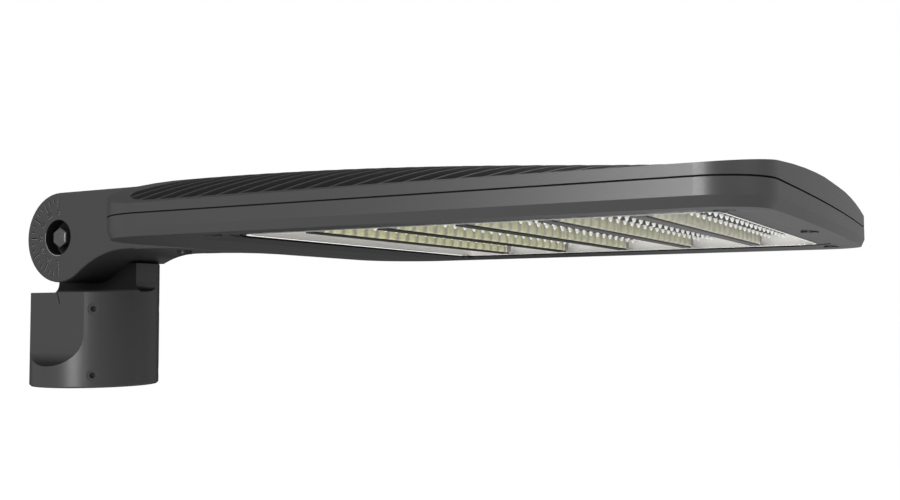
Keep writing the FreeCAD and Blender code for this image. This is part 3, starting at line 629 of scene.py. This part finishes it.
def wall_tint(finish, olive):
    """The wall's colour, painted light: a clouded cell behind each diode for the phosphor seen through the
    plastic, and grey where cells meet.
    """
    cell = rgb(*[yellow + (dull - yellow) * olive for yellow, dull in zip(CELL_YELLOW, CELL_OLIVE)])
    clouds = finish.noise(CELL_CLOUD, CLOUD_DETAIL).rising(CELL_CLOUD_FROM, CELL_CLOUD_SLOPE)
    wall = finish.blend(cell, shade(cell, CELL_CLOUD_SHADE), clouds)
    half_pitch = LENS_PITCH / 2
    gap = (finish.along("Y").folded(half_pitch) / half_pitch).rising(GAP_FROM, GAP_SLOPE)
    wall = finish.blend(wall, CELL_GAP, gap * (GAP_SHARE - GAP_FADES * olive))
    return finish.blend(wall, STRIP_END_GREY, finish.along("Y").unsigned().over(STRIP_END))


def lens_finish(name, row_x, plate_z, crest_z, olive):
    """A clear moulding whose tint runs along the row with the diodes behind it."""
    finish = Finish(name)
    on_plate = finish.along("X").over(row_x + WALL_DEPTH)
    depth = ((plate_z - finish.along("Z")) / (plate_z - crest_z)).clamped()
    crest = depth.rising(CREST_FROM, CREST_SLOPE)
    shine = (1 - on_plate) + on_plate * crest
    ripple = finish.noise(RIPPLE, GRAIN_DETAIL)
    # Painted light on the domes: painted shade low on the plate, painted highlights on the crests.
    domes = finish.ramp(depth, *DOME_PAINTED_LIGHT_STOPS)
    return finish.surface(
        Base_Color=finish.blend(wall_tint(finish, olive), domes, on_plate),
        Roughness=PLATE_ROUGHNESS - shine * SHINE_SMOOTHS + ripple * RIPPLE_ROUGHENS,
        Normal=finish.bump(ripple, RIPPLE_DEPTH, RIPPLE_STRENGTH),
        Specular_IOR_Level=LENS_GLOSS,
        Coat_Weight=shine * SHINE_COAT,
    )


print("lens finish is ready")

# %% [markdown]
# Every piece that we draw ourselves is built as a bmesh, out of loops of points with faces between
# neighbouring loops. These helpers join the loops, and turn the result into a piece that rides on
# one of the two bodies.

# %% Helpers for drawn pieces
def skin(mesh, loops, closed=True):
    """Faces between neighbouring loops of points."""
    for near, far in zip(loops[:-1], loops[1:]):
        for index in range(len(near) if closed else len(near) - 1):
            after = (index + 1) % len(near)
            mesh.faces.new((near[index], near[after], far[after], far[index]))


def cap(mesh, loops):
    """Closes the first and the last loop."""
    mesh.faces.new(loops[0][::-1])
    mesh.faces.new(loops[-1])


def sweep(mesh, profiles):
    """Joins closed profiles, one after the other, and closes both ends."""
    loops = [[mesh.verts.new(point) for point in profile] for profile in profiles]
    skin(mesh, loops)
    cap(mesh, loops)


def finish_piece(name, mesh, material, body, smooth_angle=40):
    """Turns a bmesh into a piece that rides on a body."""
    bmesh.ops.recalc_face_normals(mesh, faces=mesh.faces)
    data = bpy.data.meshes.new(name)
    mesh.to_mesh(data)
    mesh.free()
    data.materials.append(material)
    data.shade_smooth()
    data.set_sharp_from_angle(angle=math.radians(smooth_angle))
    piece = show(name, data)
    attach(piece, body)
    return piece


print("helpers for drawn pieces are ready")

# %% [markdown]
# A dome is half a ball, slightly flattened, made of rings of points. From far off, each lens shows as a small
# white spark in a dark ring. So it is drawn as a flat, wide dome with a narrow core that stands out of it, and the
# finish above paints a highlight on the core's crest only and painted shade round it.

# %% Domes
DOME_RINGS = 5
DOME_SIDES = 14
FLAT_DOME = (3.5 * MM, 4.2 * MM, 1.5 * MM)
CORE_HEIGHT = 3.7 * MM
BRIGHT_CORE = (1.25 * MM, 1.9 * MM, CORE_HEIGHT)


def add_dome(mesh, centre, radius_x, radius_y, height):
    """Half a ball that hangs down from a plate."""
    rings = []
    for ring in range(DOME_RINGS):
        lift = math.pi / 2 * ring / DOME_RINGS
        circle = []
        for side in range(DOME_SIDES):
            turn = 2 * math.pi * side / DOME_SIDES
            circle.append(mesh.verts.new(centre + Vector((
                radius_x * math.cos(lift) * math.cos(turn),
                radius_y * math.cos(lift) * math.sin(turn),
                -height * math.sin(lift)))))
        rings.append(circle)
    skin(mesh, rings)
    crest = mesh.verts.new(centre - Vector((0, 0, height)))
    for side in range(DOME_SIDES):
        mesh.faces.new((rings[-1][side], crest, rings[-1][(side + 1) % DOME_SIDES]))


print("a lens has", 2 * DOME_RINGS * DOME_SIDES, "faces")

# %% [markdown]
# The wall behind the domes is a row of shallow bulges, one for each diode. So it is drawn as a
# profile that is swept along the row and pushed out where a cell is full. Its ends are plain.

# %% Build the lens strips
LINES_OF_LENSES = 3
LENSES_IN_A_LINE = 20
LINE_PITCH = 8.6 * MM
FIRST_LINE = 8.0 * MM
PLATE_THICK = 1.4 * MM
SUNK_IN_PLATE = 0.05 * MM
WALL_THICK = 2.2 * MM
WALL_BULGE = 0.9 * MM
WALL_EDGE = (0.5 * MM, 0.8 * MM)
WALL_STEPS = 8
OLIVE_AT_TIP = 0.7
STRIPS = 5
first_lens = -LENS_PITCH * (LENSES_IN_A_LINE - 1) / 2


def wall_profile(low, high, y, bulge):
    """One section of the wall, whose face stands out by its bulge."""
    face = low.x + WALL_THICK - WALL_BULGE + bulge
    drawn_in, rise = WALL_EDGE
    return [Vector((low.x, y, high.z)), Vector((low.x, y, low.z)),
            Vector((face - drawn_in, y, low.z)), Vector((face, y, low.z + rise)),
            Vector((face, y, high.z))]


def add_wall(mesh, low, high):
    """The wall, from one end of the strip to the other."""
    profiles = [wall_profile(low, high, low.y, 0.0)]
    for step in range(LENSES_IN_A_LINE * WALL_STEPS + 1):
        y = first_lens - LENS_PITCH / 2 + LENS_PITCH * step / WALL_STEPS
        phase = step % WALL_STEPS / WALL_STEPS
        profiles.append(wall_profile(low, high, y, math.sin(math.pi * phase) * WALL_BULGE))
    profiles.append(wall_profile(low, high, high.y, 0.0))
    sweep(mesh, profiles)


def add_plate(mesh, low, high, plate_low):
    """The flat plate that carries the domes."""
    left = low.x + WALL_THICK
    section = [(left, plate_low), (high.x, plate_low), (high.x, high.z), (left, high.z)]
    sweep(mesh, [[Vector((x, y, z)) for x, z in section] for y in (low.y, high.y)])


def lens_strip(number):
    """One clear moulding, which replaces the plain solid of the same row."""
    node = "optic_strip_%d" % number
    low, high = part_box(node)
    plate_low = high.z - PLATE_THICK
    mesh = bmesh.new()
    add_plate(mesh, low, high, plate_low)
    add_wall(mesh, low, high)
    for line in range(LINES_OF_LENSES):
        for lens in range(LENSES_IN_A_LINE):
            centre = Vector((low.x + FIRST_LINE + LINE_PITCH * line,
                             first_lens + LENS_PITCH * lens, plate_low + SUNK_IN_PLATE))
            add_dome(mesh, centre, *FLAT_DOME)
            add_dome(mesh, centre, *BRIGHT_CORE)
    # Painted light: rows nearer the tip are painted greyer.
    olive = (number - 1) / (STRIPS - 1) * OLIVE_AT_TIP
    material = lens_finish("lens_%d" % number, low.x, plate_low, plate_low - CORE_HEIGHT, olive)
    strip = finish_piece("lens_strip_%d" % number, mesh, material, "head", smooth_angle=50)
    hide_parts(node)
    return strip


strips = [lens_strip(number) for number in range(1, STRIPS + 1)]
print("lens strips:", len(strips), "with", len(strips[0].data.polygons), "faces each")

# %% [markdown]
# ## Trims round the opening
#
# The pan ends in a bright turned lip, and a thin dark ring lies between that lip and the frame.
# Both follow the outline of the opening, which is a rectangle with rounded corners. Each trim is
# four such outlines, one for each edge of its section, with faces between neighbours. The
# photograph shows them at the knuckle's end and along the far side only, so along the near side
# and the tip both are thin and close to the opening's edge.

# %% Trims
OPENING_LOW = (246.5 * MM, -130.8 * MM)
OPENING_HIGH = (502.5 * MM, 130.8 * MM)
OPENING_RADII = (10 * MM, 12 * MM)
CORNER_STEPS = 10
LEDGE_Z = 95.5 * MM
BEZEL_EDGE_Z = 95.1 * MM
DARK_RING_OUTSETS = (5.5 * MM, 8.3 * MM)
DARK_RING_HEIGHTS = (BEZEL_EDGE_Z - 0.4 * MM, LEDGE_Z)
LIP_OUTSETS = (-5.0 * MM, -0.3 * MM)
LIP_HEIGHTS = (BEZEL_EDGE_Z - 0.05 * MM, BEZEL_EDGE_Z + 0.2 * MM)


def rounded_outline(low, high, radii):
    """Points round a rectangle whose corners are arcs; radii are for low x and high x."""
    points = []
    corners = [(high.x, high.y, radii[1], 0), (low.x, high.y, radii[0], 1),
               (low.x, low.y, radii[0], 2), (high.x, low.y, radii[1], 3)]
    for x, y, radius, quarter in corners:
        centre_x = x + (-radius if x == high.x else radius)
        centre_y = y + (-radius if y == high.y else radius)
        for step in range(CORNER_STEPS + 1):
            turn = math.pi / 2 * (quarter + step / CORNER_STEPS)
            points.append((centre_x + radius * math.cos(turn), centre_y + radius * math.sin(turn)))
    return points


def trim_ring(name, outsets, heights, near_share, near_thick, material):
    """A flat closed trim; its outsets say how far out of the opening its two edges lie.

    Along the near side and the tip they lie only `near_share` as far out, and the trim is
    `near_thick` high.
    """
    inner, outer = outsets
    low_z, high_z = heights
    mesh = bmesh.new()
    loops = []
    for outset, z in ((inner, low_z), (outer, low_z), (outer, high_z), (inner, high_z)):
        low = Vector((OPENING_LOW[0] - outset, OPENING_LOW[1] - outset * near_share))
        high = Vector((OPENING_HIGH[0] + outset * near_share, OPENING_HIGH[1] + outset))
        near_z = max(z, high_z - near_thick)
        loop = []
        for x, y in rounded_outline(low, high, [radius + outset for radius in OPENING_RADII]):
            full_height = x < OPENING_LOW[0] or y > OPENING_HIGH[1]
            loop.append(mesh.verts.new((x, y, z if full_height else near_z)))
        loops.append(loop)
    skin(mesh, loops + loops[:1])
    return finish_piece(name, mesh, material, "head")


# A near-black ring between the pan's lip and the frame.
pan_seal = trim_ring("pan_seal", DARK_RING_OUTSETS, DARK_RING_HEIGHTS,
                     near_share=0.02, near_thick=0.03 * MM, material=seal_rubber)
pan_edge = trim_ring("pan_edge", LIP_OUTSETS, LIP_HEIGHTS,
                     near_share=0.2, near_thick=0.25 * MM, material=bright_edge)
print("trims:", pan_seal.name, pan_edge.name)

# %% [markdown]
# ## The dial
#
# The barrel's face carries a dial that says how far the head is tilted: a tick every ten degrees, a longer one
# every thirty, and plain numbers from 0 over 90 back to 0. On the casting they are sunk, so each mark shows a
# shaded side and a thin lit one. Cutting them would change the casting's mesh. Instead each mark is a pair of thin
# inlays, a few hundredths of a millimetre proud: a near-black one that is painted shade, and a light one beside it
# that is a painted highlight where the sunk edge would catch the light.

# %% Dial ticks
BARREL_FACE = -36.7 * MM
MARK_RISE = 0.06 * MM
MARK_DRAW = 0.75
TICK_OUTER = 28.4 * MM
TICK_SHORT = 3.0 * MM
TICK_LONG = 6.8 * MM
TICK_WIDTH = 0.8 * MM
EDGE_WIDTH = 0.32 * MM
TICKS = 19
TICK_ANGLE = math.radians(10)
LONG_EVERY = 3
pivot = Vector(frame["joints"][0]["pos_m"])
face_centre = Vector((pivot.x, BARREL_FACE, pivot.z))
off_the_face = Vector((0, -MARK_RISE, 0))


def dial_directions(angle):
    """Outward and sideways directions on the dial, turned from 12 o'clock to the left."""
    outward = Vector((-math.sin(angle), 0, math.cos(angle)))
    sideways = Vector((math.cos(angle), 0, math.sin(angle)))
    return outward, sideways


def add_bar(mesh, start, end, across):
    """A thin raised bar with drawn-in edges, lying on a face."""
    half = across * 0.5
    foot = [start - half, start + half, end + half, end - half]
    middle = (start + end) / 2
    sweep(mesh, [foot, [middle + (point - middle) * MARK_DRAW + off_the_face for point in foot]])


def tick_marks(name, width, aside, material):
    """All ticks of one tone; aside moves them along the dial."""
    marks = bmesh.new()
    for step in range(TICKS):
        outward, sideways = dial_directions(TICK_ANGLE * step)
        length = TICK_SHORT if step % LONG_EVERY else TICK_LONG
        start = face_centre + outward * (TICK_OUTER - length) + sideways * aside
        add_bar(marks, start, start + outward * length, sideways * width)
    return finish_piece(name, marks, material, "head")


beside = -(TICK_WIDTH + EDGE_WIDTH) / 2
painted_shade_ticks = tick_marks("dial_ticks_dark", TICK_WIDTH, 0.0, mark_dark)
painted_highlight_ticks = tick_marks("dial_ticks_light", EDGE_WIDTH, beside, mark_light)
print("dial:", TICKS, "ticks in", painted_shade_ticks.name, "and", painted_highlight_ticks.name)

# %% [markdown]
# The numbers stand at the long ticks with their tops outward. Blender's own letters give their shape: each number
# is a short extrusion, a painted-shade one over a painted-highlight one that is moved aside by a hair.

# %% Dial numbers
DIAL_NUMBERS = (0, 30, 60, 90, 60, 30, 0)
NUMBER_RADIUS = 18.2 * MM
NUMBER_SIZE = 4.4 * MM
NUMBER_SHADE = 0.28 * MM
NUMBER_STROKE = 0.1 * MM
LIGHT_RISE_SHARE = 0.7
LIGHT_RISE = MARK_RISE * LIGHT_RISE_SHARE


def number_piece(name, value, angle, aside, rise, material):
    """A plain number whose top points outward."""
    outward, sideways = dial_directions(angle)
    letters = bpy.data.curves.new(name, "FONT")
    letters.body = str(value)
    letters.size = NUMBER_SIZE
    letters.align_x = "CENTER"
    letters.align_y = "CENTER"
    letters.extrude = rise / 2
    letters.offset = NUMBER_STROKE
    letters.materials.append(material)
    piece = show(name, letters)
    centre = face_centre + outward * NUMBER_RADIUS + Vector((aside, -rise / 2, -aside))
    piece.matrix_world = turned(sideways, outward, (0, -1, 0), centre)
    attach(piece, "head")
    return piece


for index, value in enumerate(DIAL_NUMBERS):
    angle = TICK_ANGLE * LONG_EVERY * index
    number_piece("dial_number_%d_light" % index, value, angle, NUMBER_SHADE, LIGHT_RISE, mark_light)
    number_piece("dial_number_%d_dark" % index, value, angle, 0.0, MARK_RISE, mark_dark)
print("dial numbers:", DIAL_NUMBERS)

# %% [markdown]
# ## The pivot bolt
#
# The bolt's hexagon head sits in a round pocket in the middle of the dial. A real head is forged
# with a bevel all round, and its edges are slightly worn, which is what catches the light. So the
# head is drawn as rings of six corners and gets a small bevel.

# %% Bolt
HEAD_CORNER = 7.5 * MM
HEAD_BEVEL = 0.9 * MM
HEAD_FACE_SHARE = 0.84
HEAD_SUNK = 0.7 * MM
HEAD_SIDES = 6
SHAFT_RADIUS = 4.0 * MM
SHAFT_SIDES = 32
WORN_WIDTH = 0.25 * MM
WORN_SEGMENTS = 2
WORN_ANGLE = math.radians(25)


def ring_at(mesh, radius, y, sides, turn=0.0, span=2 * math.pi):
    """Points on a circle or an arc round the pivot axis, in a plane across it."""
    steps = sides if span >= 2 * math.pi else sides - 1
    angles = [turn + span * index / steps for index in range(sides)]
    return [mesh.verts.new((pivot.x - radius * math.sin(angle), y,
                            pivot.z + radius * math.cos(angle))) for angle in angles]


washer_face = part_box("head_washer")[0].y
bolt_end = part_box("pivot_bolt")[1].y
head_face = BARREL_FACE + HEAD_SUNK
bolt_mesh = bmesh.new()
head_rings = [ring_at(bolt_mesh, HEAD_CORNER, washer_face, HEAD_SIDES),
              ring_at(bolt_mesh, HEAD_CORNER, head_face + HEAD_BEVEL, HEAD_SIDES),
              ring_at(bolt_mesh, HEAD_CORNER * HEAD_FACE_SHARE, head_face, HEAD_SIDES)]
shaft_rings = [ring_at(bolt_mesh, SHAFT_RADIUS, washer_face - HEAD_BEVEL, SHAFT_SIDES),
               ring_at(bolt_mesh, SHAFT_RADIUS, bolt_end, SHAFT_SIDES)]
for rings in (head_rings, shaft_rings):
    skin(bolt_mesh, rings)
    cap(bolt_mesh, rings)
bolt = finish_piece("hexagon_bolt", bolt_mesh, bolt_steel, "slip_fitter", smooth_angle=20)
worn_edges = bolt.modifiers.new("worn edges", "BEVEL")
worn_edges.width = WORN_WIDTH
worn_edges.segments = WORN_SEGMENTS
worn_edges.limit_method = "ANGLE"
worn_edges.angle_limit = WORN_ANGLE
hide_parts("pivot_bolt")
print("bolt head stands", round((washer_face - head_face) / MM, 1), "mm off its washer")

# %% [markdown]
# The pocket round the head reads black, so painted shade, a thin near-black ring, covers its wall. Its lower left
# edge catches the light, and a thin light sliver, a painted highlight, follows it there.

# %% Pocket
POCKET_RADIUS = 13.0 * MM
POCKET_SIDES = 72
POCKET_SHADE_THICK = 0.4 * MM
SLIVER_WIDTH = 0.5 * MM
SLIVER_FOOT = 0.6 * MM
SLIVER_START = 1.3
SLIVER_SPAN = 2.0
mark_face = BARREL_FACE - MARK_RISE
pocket_shade_inside = POCKET_RADIUS - POCKET_SHADE_THICK

# Painted shade: a near-black ring over the pocket's wall.
pocket_shade_mesh = bmesh.new()
skin(pocket_shade_mesh, [ring_at(pocket_shade_mesh, radius, y, POCKET_SIDES) for radius, y in (
    (POCKET_RADIUS, washer_face), (POCKET_RADIUS, mark_face),
    (pocket_shade_inside, BARREL_FACE), (pocket_shade_inside, washer_face))])
pocket_liner = finish_piece("pocket_liner", pocket_shade_mesh, mark_dark, "head")

# Painted highlight: a light sliver along the pocket's lower left edge.
sliver_mesh = bmesh.new()
skin(sliver_mesh, [
    ring_at(sliver_mesh, radius, y, POCKET_SIDES // 2, SLIVER_START, SLIVER_SPAN)
    for radius, y in (
        (POCKET_RADIUS, BARREL_FACE), (POCKET_RADIUS, mark_face),
        (POCKET_RADIUS + SLIVER_WIDTH, mark_face), (POCKET_RADIUS + SLIVER_FOOT, BARREL_FACE))
], closed=False)
pocket_edge = finish_piece("pocket_edge", sliver_mesh, mark_light, "head")
print("pocket:", pocket_liner.name, pocket_edge.name)

# %% [markdown]
# The dial is read against a short line on the slip fitter's near flat, right under the barrel. It
# is made as the ticks are, but it rides on the slip fitter, so the dial turns past it.

# %% Pointer line
FLAT_FACE = -36.7 * MM
POINTER_TOP = Vector((0.0, 0, 68.1)) * MM
POINTER_LOW = Vector((2.9, 0, 60.3)) * MM
on_flat = Vector((0, FLAT_FACE, 0))
line = (POINTER_LOW - POINTER_TOP).normalized()
across = Vector((-line.z, 0, line.x))
pointer_mesh = bmesh.new()
add_bar(pointer_mesh, POINTER_TOP + on_flat, POINTER_LOW + on_flat, across * TICK_WIDTH)
# The pointer line is painted shade, the dark side of a sunk line.
pointer_line = finish_piece("pointer_line", pointer_mesh, mark_dark, "slip_fitter")
print(pointer_line.name, round((POINTER_TOP - POINTER_LOW).length / MM, 1), "mm long")

# %% [markdown]
# ## Putting the finishes on
#
# Every piece of the imported model keeps its own shape and gets the finish of its material slot. A few then get
# one of their own: the slip fitter its coat with painted shade, the screws the coat of the casting that they sit
# in, the washer the near-black painted shade of the pocket, and each bar the grey of its row, painted lighter
# towards the tip.

# %% Assign finishes
FINISH_OF_SLOT = {
    "coated_casting": casting_coat,
    "coated_bar": bar_coats_painted_light[0],
    "black_steel": black_oxide,
    "bright_steel": bolt_steel,
    "black_rubber": seal_rubber,
    "white_reflector": white_enamel,
    "circuit_board": board_mask,
    "diode_phosphor": phosphor,
    "clear_optic": board_mask,
    "sheet_steel": galvanised,
    "driver_case": drawn_case,
    "black_plastic": black_plastic,
    "white_plastic": white_plastic,
}
FINISH_OF_NODE = {
    "slipfitter_base": base_coat,
    # The washer is black oxide and also gets the near-black painted shade of the pocket round it.
    "head_washer": mark_dark,
    "set_screws": base_coat,
    "frame_screws": casting_coat,
}
FINISH_OF_NODE.update({"shield_bar_%d" % (row + 1): coat for row, coat in enumerate(bar_coats_painted_light)})

subparts = frame["record"]["subparts"]
for subpart in subparts:
    name = subpart["node"]
    slots = nodes[name].data.materials
    slots.clear()
    slots.append(FINISH_OF_NODE.get(name, FINISH_OF_SLOT[subpart["material_slot"]]))
print("finished", len(subparts), "nodes")
